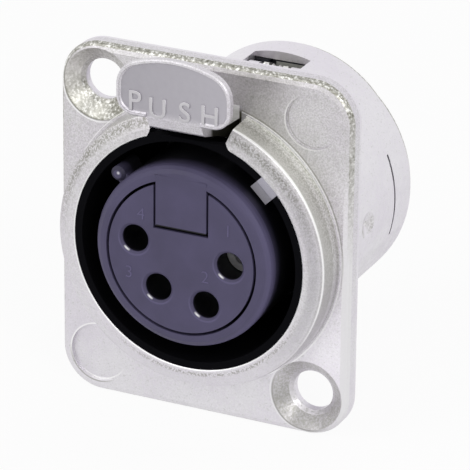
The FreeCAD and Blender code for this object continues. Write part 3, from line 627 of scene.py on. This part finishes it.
def folded_sheet(name, rows, material):
    """A smooth thin piece on the socket's body, through equal rows of points in metres."""
    mesh = bmesh.new()
    grid = [[mesh.verts.new(point) for point in row] for row in rows]
    for row, following in zip(grid, grid[1:]):
        for index in range(len(row) - 1):
            corners = (row[index], row[index + 1], following[index + 1], following[index])
            mesh.faces.new(corners).smooth = True
    bmesh.ops.recalc_face_normals(mesh, faces=mesh.faces)
    data = bpy.data.meshes.new(name)
    mesh.to_mesh(data)
    mesh.free()
    data.materials.append(material)
    piece = bpy.data.objects.new(name, data)
    bpy.context.collection.objects.link(piece)
    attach(piece, "socket")


# Operators

class SOCKET_OT_shell(bpy.types.Operator):
    """Give the cast shell its grainy satin plating"""

    bl_idname = "socket.shell"
    bl_label = "Cast shell"

    # Colours of the painted highlight lines, the painted shadow lines and the flecks
    white = (0.97, 0.97, 0.96)
    painted_shadow_line = (0.22, 0.22, 0.17)
    fleck = (0.42, 0.42, 0.36)

    # Lengths here, and in the operators for the other pieces, are in millimetres
    collar_front = -2.05
    flange_middle = -1.0
    slot_half = 3.36
    lip_corner = 0.35
    lip_steps = 180
    lip_profile = ((10.78, -4.965), (10.50, -4.96), (10.30, -4.945), (10.21, -4.91),
                   (10.18, -4.86), (10.20, -4.80))
    upper_left_screw = (-9.5, 12.0)
    lower_right_screw = (9.5, -12.0)
    upper_right_recess = (9.5, 12.0)
    lower_left_recess = (-9.5, -12.0)

    def execute(self, context):
        metal = cast_metal("Satin nickel casting", grain_scale=4200.0, smoothest=0.36,
                           roughest=0.54, bevel_grain_and_shade=1.0, bump_strength=0.6)
        self.tone(metal, context.scene.socket_finish.upper_shade)
        self.mark_collar(metal)
        self.mark_flange(metal)
        dress("housing", metal)
        folded_sheet("collar_lip", self.lip_rows(), metal)
        return {"FINISHED"}

    def tone(self, metal, upper_shade):
        """Painted shade on the front towards its top and beside the tab, painted light at its
        right, a plainer lighter right bevel, and painted shade in the latch's openings.
        """
        to_front = ((0, -1, 0), 0.5, 0.9)
        # Painted shade on the front, towards its top
        box_tone(metal, upper_shade, low=(-14, -5.2, 12), high=(14, 0, 17), edge=(0.1, 0.1, 24),
                 face=((0, -1, 0), 0.0, 0.5))
        # Painted light on the front at the right
        box_tone(metal, (1.20, 1.19, 1.21), low=(11.0, -2.1, -9.0), high=(13.0, -1.9, 5.0),
                 edge=(3.0, 0.1, 4.0), face=to_front)
        # The right bevel made plain and lighter towards the bottom, over its painted bevel shade
        box_tone(metal, (0.78, 0.77, 0.785), low=(12.2, -2.1, -16), high=(13.1, -1.2, 0.0),
                 edge=(0.1, 0.1, 8.0), face=((0.7, -0.7, 0), 0.7, 0.95), as_shade=0.0)
        # Painted shade on the front to the right of the tab
        box_tone(metal, (0.78, 0.78, 0.75), low=(3.0, -2.1, 12.0), high=(5.5, -1.9, 15.0),
                 edge=(3.5, 0.1, 3.0), face=to_front)
        # Painted shade on the window's rear wall
        box_tone(metal, (0.72, 0.72, 0.69), low=(-2.7, 12.6, 7), high=(2.7, 13.6, 12),
                 edge=(0.2, 0.2, 0.1), face=((0, -1, 0), 0.4, 0.8))
        # Painted shade in the latch's pocket
        box_tone(metal, (0.20, 0.20, 0.14), low=(-3.4, -0.9, 8), high=(3.4, -0.5, 11.2),
                 edge=(0.02, 0.1, 0.3), face=to_front)

    def mark_collar(self, metal):
        """Painted light and shade, painted highlight and shadow lines, and flecks round the collar;
        later ones lie over earlier ones.
        """
        on_front = {"centre": (0, 0), "rear": self.collar_front}
        at_foot = {"centre": (0, 0), "rear": self.flange_middle}
        crest = {"aim": (0.75, 0.66, -0.1, 0.6), **on_front}
        shade = {"core": 0.8, "as_shade": 1.0}
        flecks = {"broken": 1.0, "as_shade": 1.0, **on_front}
        # The side: painted light at the upper right, with flecks; then painted shade on the front
        # and on the side at the right
        ring_band(metal, (0.92, 0.92, 0.89), radius=12.03, half_width=0.24,
                  aim=(0.45, 0.89, 0.35, 0.98), core=0.8, strength=0.9, **on_front)
        ring_band(metal, self.fleck, radius=12.03, half_width=0.20, aim=(0.60, 0.80, 0.3, 0.9),
                  strength=0.5, **flecks)
        ring_band(metal, (0.76, 0.76, 0.765), radius=11.15, half_width=0.65,
                  aim=(0.92, 0.39, 0.2, 0.9), as_shade=1.0, **on_front)
        ring_band(metal, (0.86, 0.86, 0.85), radius=12.03, half_width=0.20,
                  aim=(0.97, 0.24, 0.3, 0.9), **shade, **on_front)
        # A painted highlight on the crest between two painted shades, then a painted highlight and
        # a painted shadow line at the foot, and a painted highlight on the mouth's edge
        ring_band(metal, (0.80, 0.80, 0.78), radius=11.93, half_width=0.08, **shade, **crest)
        ring_band(metal, (0.84, 0.84, 0.83), radius=11.68, half_width=0.07, **shade, **crest)
        ring_band(metal, self.white, radius=11.80, half_width=0.05, strength=0.8, **crest)
        ring_band(metal, self.white, radius=12.29, half_width=0.06, aim=(0.80, 0.60, -1.1, 0.2),
                  strength=0.8, **at_foot)
        ring_band(metal, self.painted_shadow_line, radius=12.43, half_width=0.08, aim=(0.50, 0.85, 0.2, 0.8),
                  strength=0.6, **at_foot)
        ring_band(metal, self.white, radius=10.24, half_width=0.08, strength=0.8, **on_front)
        # Flecks at the bottom, the upper right and the upper left
        ring_band(metal, self.fleck, radius=10.62, half_width=0.24, aim=(0.30, -0.95, 0.45, 0.9),
                  strength=0.7, **flecks)
        ring_band(metal, self.fleck, radius=11.25, half_width=0.50, aim=(0.55, 0.83, 0.70, 0.98),
                  strength=0.7, **flecks)
        ring_band(metal, self.fleck, radius=11.40, half_width=0.60, aim=(-0.62, 0.78, 0.60, 0.92),
                  strength=0.8, **flecks)

    def mark_flange(self, metal):
        """Painted highlight and shadow lines round the two recesses; painted light, flecks, painted
        shade and painted rim lines on and round the two countersinks.
        """
        upper = {"centre": self.upper_right_recess, "aim": (-0.85, -0.50, 0.0, 0.7),
                 "half_width": 0.09, "rear": self.flange_middle}
        ring_band(metal, self.white, radius=2.36, strength=0.6, **upper)
        ring_band(metal, self.painted_shadow_line, radius=2.20, strength=0.35, **upper)
        lower = {"centre": self.lower_left_recess, "rear": self.flange_middle}
        ring_band(metal, self.white, radius=2.46, half_width=0.10, aim=(0.10, -0.99, 0.55, 0.95),
                  **lower)
        ring_band(metal, self.painted_shadow_line, radius=2.63, half_width=0.08, aim=(-0.60, -0.80, 0.3, 0.8),
                  strength=0.6, **lower)
        ring_band(metal, self.white, radius=2.62, half_width=0.09, aim=(-0.70, 0.70, 0.3, 0.8),
                  strength=0.7, **lower)
        ring_band(metal, (0.98, 0.97, 0.90), self.upper_left_screw, radius=2.55, half_width=0.60,
                  aim=(-0.92, -0.38, 0.0, 0.6), rear=self.flange_middle, core=0.7, strength=0.3)
        ring_band(metal, self.fleck, self.lower_right_screw, radius=2.40, half_width=0.70,
                  rear=self.flange_middle, core=0.8, broken=1.0, strength=0.5)
        ring_band(metal, (0.70, 0.70, 0.69), self.lower_right_screw, radius=2.60, half_width=0.80,
                  aim=(-0.60, -0.80, 0.2, 0.8), rear=self.flange_middle, core=0.6, as_shade=1.0)
        for centre, strength in ((self.upper_left_screw, 0.8), (self.lower_right_screw, 0.5)):
            rim = {"centre": centre, "half_width": 0.09, "aim": (-0.80, -0.60, 0.0, 0.7),
                   "rear": self.flange_middle, "strength": strength}
            ring_band(metal, self.painted_shadow_line, radius=3.13, **rim)
            ring_band(metal, self.white, radius=3.30, **rim)

    def lip_rows(self):
        """Points of the collar's rolled inner lip, which laps over the lining.

        It stops at the latch's gap, further back from it towards the mouth.
        """
        outer = self.lip_profile[0][0]
        inner = self.lip_profile[-2][0]
        rows = []
        for step in range(self.lip_steps + 1):
            row = []
            for radius, y in self.lip_profile:
                setback = self.lip_corner * (1 - (radius - inner) / (outer - inner)) ** 2
                gap = math.asin((self.slot_half + setback) / radius)
                angle = math.pi / 2 + gap + (math.tau - 2 * gap) * step / self.lip_steps
                row.append((radius * MM * math.cos(angle), y * MM, radius * MM * math.sin(angle)))
            rows.append(row)
        return rows


class SOCKET_OT_mouth(bpy.types.Operator):
    """Give the bore's lining and the ground strip their finishes"""

    bl_idname = "socket.mouth"
    bl_label = "Bore lining and ground strip"

    strip_angle = 45.0
    lap_width = 1.9
    lap_edge = 0.08
    lap_edge_drop = 0.05
    lap_profile = ((9.40, -4.62), (9.42, -4.80), (9.50, -4.89), (9.62, -4.92), (10.00, -4.92),
                   (10.24, -4.91))

    def execute(self, context):
        finish = context.scene.socket_finish
        # The lining's dark plastic, made near-black with almost no gloss: painted shade that keeps
        # the gap black where light falls on it
        lining = moulded_plastic("Black lining with painted gap shade", finish.liner_colour, smoothest=0.7,
                                 roughest=0.85, gloss_level=0.03)
        dress("bore_liner", lining)
        tin = plated_metal("Tinned spring strip", finish.strip_colour, smoothest=0.45,
                           roughest=0.6, metallic=0.45)
        # Painted shade on the front of the strip's lap, dimming its highlight
        box_tone(tin, (0.72, 0.72, 0.75), low=(4, -5.0, 4), high=(9, -4.7, 9),
                 edge=(0.1, 0.1, 0.1), face=((0, -1, 0), 0.3, 0.9))
        dress("ground_contact", tin)
        folded_sheet("ground_strip_lap", self.lap_rows(), tin)
        return {"FINISHED"}

    def lap_rows(self):
        """Points of the strip's front end, folded over the lining's front edge."""
        half = self.lap_width / 2
        inner = half - self.lap_edge
        drop = self.lap_edge_drop
        turn = math.radians(self.strip_angle)
        outward = Vector((math.cos(turn), 0, math.sin(turn)))
        aside = Vector((-math.sin(turn), 0, math.cos(turn)))
        return [[(outward * radius + aside * reach + Vector((0, y + sink, 0))) * MM
                 for radius, y in self.lap_profile]
                for reach, sink in ((-half, drop), (-inner, 0), (inner, 0), (half, drop))]


class SOCKET_OT_insert(bpy.types.Operator):
    """Finish the two-piece insert and raise its contact numerals"""

    bl_idname = "socket.insert"
    bl_label = "Insert and numerals"

    numeral_places = {"1": (4.20, 3.16), "2": (2.20, -1.25), "3": (-4.63, -2.07),
                      "4": (-3.54, 3.24)}
    hole_places = ((4.30, 0.10), (2.20, -3.70), (-2.05, -2.95), (-4.15, 0.95))
    peg_place = (-6.01, 6.01)
    peg_glint = (-5.92, 6.12)
    # Depths behind the front, in millimetres: how far back the peg's painted marks reach, where the
    # sleeve's painted shade starts, where its painted edge highlight ends and where its painted
    # shade is full, and where painted shade starts in the holes
    peg_depth = 2.0
    rim_depth = 0.5
    highlight_depth = 1.3
    dark_depth = 2.2
    lip_depth = 0.2
    numeral_thinner = 0.03

    # How much lighter or darker than the insert's own colour its painted light and shade are, on
    # the numerals, the sleeve's edge, round the holes and round the peg
    numeral_lighter = 1.6
    edge_lighter = 1.7
    hole_lighter = 1.9
    peg_darker = 0.35

    def execute(self, context):
        finish = context.scene.socket_finish
        lettering = context.scene.socket_lettering
        face_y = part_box("contact_holder")[0].y
        self.dress_sleeve(finish.insert_colour, face_y)
        self.dress_holder(finish.insert_colour, face_y)
        # A lighter copy of the insert's plastic: painted light on the raised numerals
        raised = moulded_plastic("Raised numerals with painted light",
                                 scaled(finish.insert_colour, self.numeral_lighter),
                                 smoothest=0.40, roughest=0.55)
        for numeral, (x, z) in self.numeral_places.items():
            raised_text("numeral_" + numeral, numeral, lettering.numeral_height,
                        lettering.numeral_relief, (x * MM, face_y, z * MM), raised, "socket",
                        self.numeral_thinner * MM)
        return {"FINISHED"}

    def dress_sleeve(self, colour, face_y):
        """The sleeve: a painted highlight at its right edge, painted shade further back, and
        painted shade and a painted glint on its peg.
        """
        shade = (face_y + self.rim_depth * MM, face_y + self.dark_depth * MM)
        sleeve = moulded_plastic("Violet grey sleeve", colour, smoothest=0.48, roughest=0.62,
                                 shade=shade)
        ring_band(sleeve, scaled(colour, self.edge_lighter), (0, 0), radius=7.72, half_width=0.30,
                  aim=(0.97, -0.24, 0.1, 0.8), rear=face_y / MM + self.highlight_depth, strength=0.7)
        peg_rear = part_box("insert_sleeve")[0].y / MM + self.peg_depth
        ring_band(sleeve, scaled(colour, self.peg_darker), self.peg_place, radius=0.50,
                  half_width=0.20, rear=peg_rear, core=0.5, strength=0.8)
        ring_band(sleeve, (0.62, 0.61, 0.66), self.peg_glint, radius=0, half_width=0.17,
                  rear=peg_rear)
        self.shade_notch(sleeve, face_y / MM)
        dress("insert_sleeve", sleeve)

    def dress_holder(self, colour, face_y):
        """The block in the sleeve, with painted shade inside its contact holes."""
        shade = (face_y + self.lip_depth * MM, face_y + self.lip_depth * 2 * MM)
        plastic = moulded_plastic("Violet grey moulding", colour, smoothest=0.48, roughest=0.62,
                                  shade=shade)
        self.light_holes(plastic, colour, face_y / MM)
        self.shade_notch(plastic, face_y / MM)
        dress("contact_holder", plastic)

    def shade_notch(self, plastic, front):
        """Painted shade along the end of the tongue, in the gap where the two mouldings meet."""
        box_tone(plastic, (0.02, 0.02, 0.02), low=(-2.2, front - 0.1, 2.30),
                 high=(2.35, front + 1, 2.58), edge=(0.04, 0.1, 0.05))

    def light_holes(self, plastic, colour, front):
        """Painted light round each contact hole, brightest at its lower left, and a painted glint
        there on its chamfer.
        """
        for centre in self.hole_places:
            ring_band(plastic, scaled(colour, self.hole_lighter), centre, radius=1.40,
                      half_width=0.10, aim=(-0.30, -0.95, -0.4, 0.6), rear=front + 0.1,
                      strength=0.7)
            ring_band(plastic, (0.85, 0.84, 0.86), centre, radius=1.24, half_width=0.08,
                      aim=(-0.60, -0.80, 0.965, 0.998), rear=front + 0.3)


class SOCKET_OT_contacts(bpy.types.Operator):
    """Give the contacts their silver plating"""

    bl_idname = "socket.contacts"
    bl_label = "Contacts"

    def execute(self, context):
        plating = plated_metal("Silver plating", context.scene.socket_finish.contact_colour,
                               smoothest=0.35, roughest=0.5, metallic=0.3)
        for node in CONTACT_NODES:
            dress(node, plating)
        return {"FINISHED"}


class SOCKET_OT_rear(bpy.types.Operator):
    """Finish the rear insulator"""

    bl_idname = "socket.rear"
    bl_label = "Rear insulator"

    def execute(self, context):
        plastic = moulded_plastic("Black moulding", context.scene.socket_finish.rear_colour,
                                  smoothest=0.4, roughest=0.55)
        # Painted light: a grey patch on the black moulding where it shows behind the spring's coil
        box_tone(plastic, (0.24, 0.24, 0.22), low=(-0.4, 11.0, 8.8), high=(2.7, 16.0, 12.0),
                 edge=(0.3, 0.1, 0.1), face=((0, -1, 0), 0.3, 0.7), as_shade=0.0)
        dress("rear_insulator", plastic)
        return {"FINISHED"}


class SOCKET_OT_latch(bpy.types.Operator):
    """Finish the latch lever, its pin and its spring, and raise the word on the tab"""

    bl_idname = "socket.latch"
    bl_label = "Latch"

    letter_places = ((-3.41, 13.48), (-1.38, 13.16), (1.00, 13.24), (3.19, 13.29))
    letter_thinner = 0.01
    tab_floor_depth = 0.2
    dish_low_z = 12.3
    dish_high_z = 13.0

    # How much lighter than the painted shade on its floor the dish's right side is, as painted
    # light
    right_lighter = 1.12

    def execute(self, context):
        finish = context.scene.socket_finish
        lettering = context.scene.socket_lettering
        floor_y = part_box("latch_lever")[0].y + self.tab_floor_depth * MM
        lever = cast_metal("Satin nickel lever", grain_scale=5200.0, smoothest=0.42, roughest=0.56,
                           bevel_grain_and_shade=0.0, bump_strength=0.35)
        self.shade_lever(lever, finish.dish_shade_colour, floor_y / MM)
        dress("latch_lever", lever)
        dress("latch_pin", plated_metal("Drawn steel pin", (0.55, 0.55, 0.56),
                                        smoothest=0.2, roughest=0.35))
        dress("latch_spring", plated_metal("Drawn spring wire", (0.80, 0.79, 0.77),
                                           smoothest=0.18, roughest=0.3))
        letters = plated_metal("Satin nickel letters", finish.letter_colour,
                               smoothest=0.35, roughest=0.5)
        for letter, (x, z) in zip(lettering.word, self.letter_places):
            raised_text("tab_letter_" + letter.lower(), letter, lettering.word_height,
                        lettering.word_relief * 2, (x * MM, floor_y, z * MM), letters, "latch",
                        self.letter_thinner * MM)
        return {"FINISHED"}

    def shade_lever(self, lever, dish_shade_colour, floor_y):
        """Painted shade on the floor of the tab's dish, lighter at its right, and painted shade on
        the arm's side and top.
        """
        rise = self.dish_high_z - self.dish_low_z
        dish = {"high": (6, floor_y + 0.1, 20), "face": ((0, -1, 0), 0.90, 0.97), "as_shade": 0.0}
        # Painted shade on the dish's floor, then painted light towards its right
        box_tone(lever, dish_shade_colour, low=(-6, floor_y - 0.1, self.dish_high_z),
                 edge=(0.1, 0.02, rise), **dish)
        box_tone(lever, scaled(dish_shade_colour, self.right_lighter),
                 low=(4, floor_y - 0.1, self.dish_high_z), edge=(8, 0.02, rise), **dish)
        # Painted shade on the arm's side below the tab
        box_tone(lever, (0.10, 0.10, 0.07), low=(2.2, -5.3, 8), high=(3, 1, 12),
                 edge=(0.1, 0.5, 1.0), face=((1, 0, 0), 0.5, 0.8))
        # Painted shade on the arm's top
        box_tone(lever, (0.40, 0.40, 0.37), low=(-3, -2.5, 10.3), high=(3, 1.0, 10.7),
                 edge=(0.1, 3.5, 0.1), face=((0, 0, 1), 0.6, 0.9))


class SOCKET_OT_stage(bpy.types.Operator):
    """Set the floor, the lamps, the world and the camera"""

    bl_idname = "socket.stage"
    bl_label = "Stage"

    def execute(self, context):
        settings = context.scene.socket_stage
        add_floor(settings.floor_size)
        add_world(settings.room_level)
        add_lamp("key", place=(-0.32, -0.42, 0.45), size=0.40, power=settings.key_power)
        add_lamp("fill", place=(0.55, -0.10, 0.35), size=0.35, power=settings.fill_power)
        add_lamp("glint", place=(0.352, -0.335, 0.350), size=0.12, power=settings.glint_power)
        add_camera()
        context.scene.view_settings.view_transform = "Standard"
        return {"FINISHED"}


# Stage

def white_for_view(tree, lit, level):
    """Mix a lit shader with plain white where the camera or a reflection sees it."""
    path = tree.nodes.new("ShaderNodeLightPath")
    seen = math_node(tree, "MAXIMUM", path.outputs["Is Camera Ray"], path.outputs["Is Glossy Ray"])
    seen = math_node(tree, "MAXIMUM", seen, path.outputs["Is Transmission Ray"])
    factor = math_node(tree, "MULTIPLY", seen, level)
    mix = tree.nodes.new("ShaderNodeMixShader")
    link(tree, factor, mix.inputs[0])
    link(tree, lit, mix.inputs[1])
    return mix


def add_floor(size):
    """A pale floor just under the flange."""
    lowest = CAD_BOX[0][2]
    mesh = bpy.data.meshes.new("floor")
    half = size / 2
    corners = [(-half, -half, lowest), (half, -half, lowest), (half, half, lowest),
               (-half, half, lowest)]
    mesh.from_pydata(corners, [], [(0, 1, 2, 3)])
    floor = bpy.data.objects.new("floor", mesh)
    bpy.context.collection.objects.link(floor)
    material, tree, shader, _ = new_material("Pale floor")
    shader.inputs["Base Color"].default_value = (0.86, 0.86, 0.86, 1)
    shader.inputs["Roughness"].default_value = 0.9
    white = tree.nodes.new("ShaderNodeEmission")
    white.inputs["Strength"].default_value = 1.0
    mix = white_for_view(tree, shader.outputs["BSDF"], FLOOR_WHITE)
    link(tree, white.outputs[0], mix.inputs[2])
    link(tree, mix.outputs[0], tree.nodes["Material Output"].inputs["Surface"])
    mesh.materials.append(material)


def add_world(level):
    """Even light from all round, which the camera and reflections see as white."""
    world = bpy.data.worlds.new("Studio")
    bpy.context.scene.world = world
    world.use_nodes = True
    tree = world.node_tree
    room = tree.nodes["Background"]
    room.inputs["Color"].default_value = (1, 1, 1, 1)
    room.inputs["Strength"].default_value = level
    white = tree.nodes.new("ShaderNodeBackground")
    white.inputs["Color"].default_value = (1, 1, 1, 1)
    white.inputs["Strength"].default_value = 1.0
    mix = white_for_view(tree, room.outputs[0], 1.0)
    link(tree, white.outputs[0], mix.inputs[2])
    link(tree, mix.outputs[0], tree.nodes["World Output"].inputs["Surface"])


def add_lamp(name, place, size, power):
    """A square soft lamp that faces the socket's origin; place and size are in metres."""
    data = bpy.data.lights.new(name, "AREA")
    data.size = size
    data.energy = power
    lamp = bpy.data.objects.new(name, data)
    lamp.location = place
    lamp.rotation_euler = (-Vector(place)).to_track_quat("-Z", "Y").to_euler()
    bpy.context.collection.objects.link(lamp)


def add_camera():
    """The photograph's camera, fitted to the flange, the mouth and the barrel."""
    azimuth = math.radians(PHOTO_AZIMUTH)
    elevation = math.radians(PHOTO_ELEVATION)
    roll = math.radians(PHOTO_ROLL)
    outward = Vector((math.sin(azimuth) * math.cos(elevation),
                      -math.cos(azimuth) * math.cos(elevation), math.sin(elevation)))
    level_right = Vector((math.cos(azimuth), math.sin(azimuth), 0))
    level_up = outward.cross(level_right)
    right = level_right * math.cos(roll) + level_up * math.sin(roll)
    up = level_up * math.cos(roll) - level_right * math.sin(roll)
    target = Vector((0, FLANGE_FRONT_Y, 0))
    data = bpy.data.cameras.new("camera")
    data.sensor_width = SENSOR_WIDTH
    data.lens = PHOTO_FOCAL_PIXELS / PHOTO_PIXELS * SENSOR_WIDTH
    data.shift_x = (PHOTO_PIXELS / 2 - PHOTO_TARGET_PIXEL[0]) / PHOTO_PIXELS
    data.shift_y = (PHOTO_TARGET_PIXEL[1] - PHOTO_PIXELS / 2) / PHOTO_PIXELS
    data.clip_start = CLIP_START
    camera = bpy.data.objects.new("camera", data)
    basis = Matrix((right, up, outward)).transposed().to_4x4()
    camera.matrix_world = Matrix.Translation(target + outward * PHOTO_DISTANCE) @ basis
    bpy.context.collection.objects.link(camera)
    bpy.context.scene.camera = camera


class SOCKET_PT_panel(bpy.types.Panel):
    """Lists the socket's settings and steps in the 3D view's sidebar"""

    bl_label = "Panel socket"
    bl_idname = "SOCKET_PT_panel"
    bl_space_type = "VIEW_3D"
    bl_region_type = "UI"
    bl_category = "Panel socket"

    def draw(self, context):
        layout = self.layout
        for settings in (context.scene.socket_finish, context.scene.socket_lettering,
                         context.scene.socket_stage):
            box = layout.box()
            for name in settings.__annotations__:
                box.prop(settings, name)
        for step in STEPS:
            layout.operator(step.bl_idname)


SETTINGS = {"socket_finish": SocketFinish, "socket_lettering": SocketLettering,
            "socket_stage": SocketStage}
STEPS = (SOCKET_OT_shell, SOCKET_OT_mouth, SOCKET_OT_insert, SOCKET_OT_contacts, SOCKET_OT_rear,
         SOCKET_OT_latch, SOCKET_OT_stage)
CLASSES = tuple(SETTINGS.values()) + STEPS + (SOCKET_PT_panel,)


def register():
    """Add the settings, the steps and the panel to Blender."""
    for item in CLASSES:
        bpy.utils.register_class(item)
    for name, settings in SETTINGS.items():
        setattr(bpy.types.Scene, name, bpy.props.PointerProperty(type=settings))


def unregister():
    """Take them out again."""
    for name in SETTINGS:
        delattr(bpy.types.Scene, name)
    for item in reversed(CLASSES):
        bpy.utils.unregister_class(item)


def main():
    """Dress the whole socket and light it."""
    register()
    bpy.ops.socket.shell()
    bpy.ops.socket.mouth()
    bpy.ops.socket.insert()
    bpy.ops.socket.contacts()
    bpy.ops.socket.rear()
    bpy.ops.socket.latch()
    bpy.ops.socket.stage()


if __name__ == "__main__":
    main()
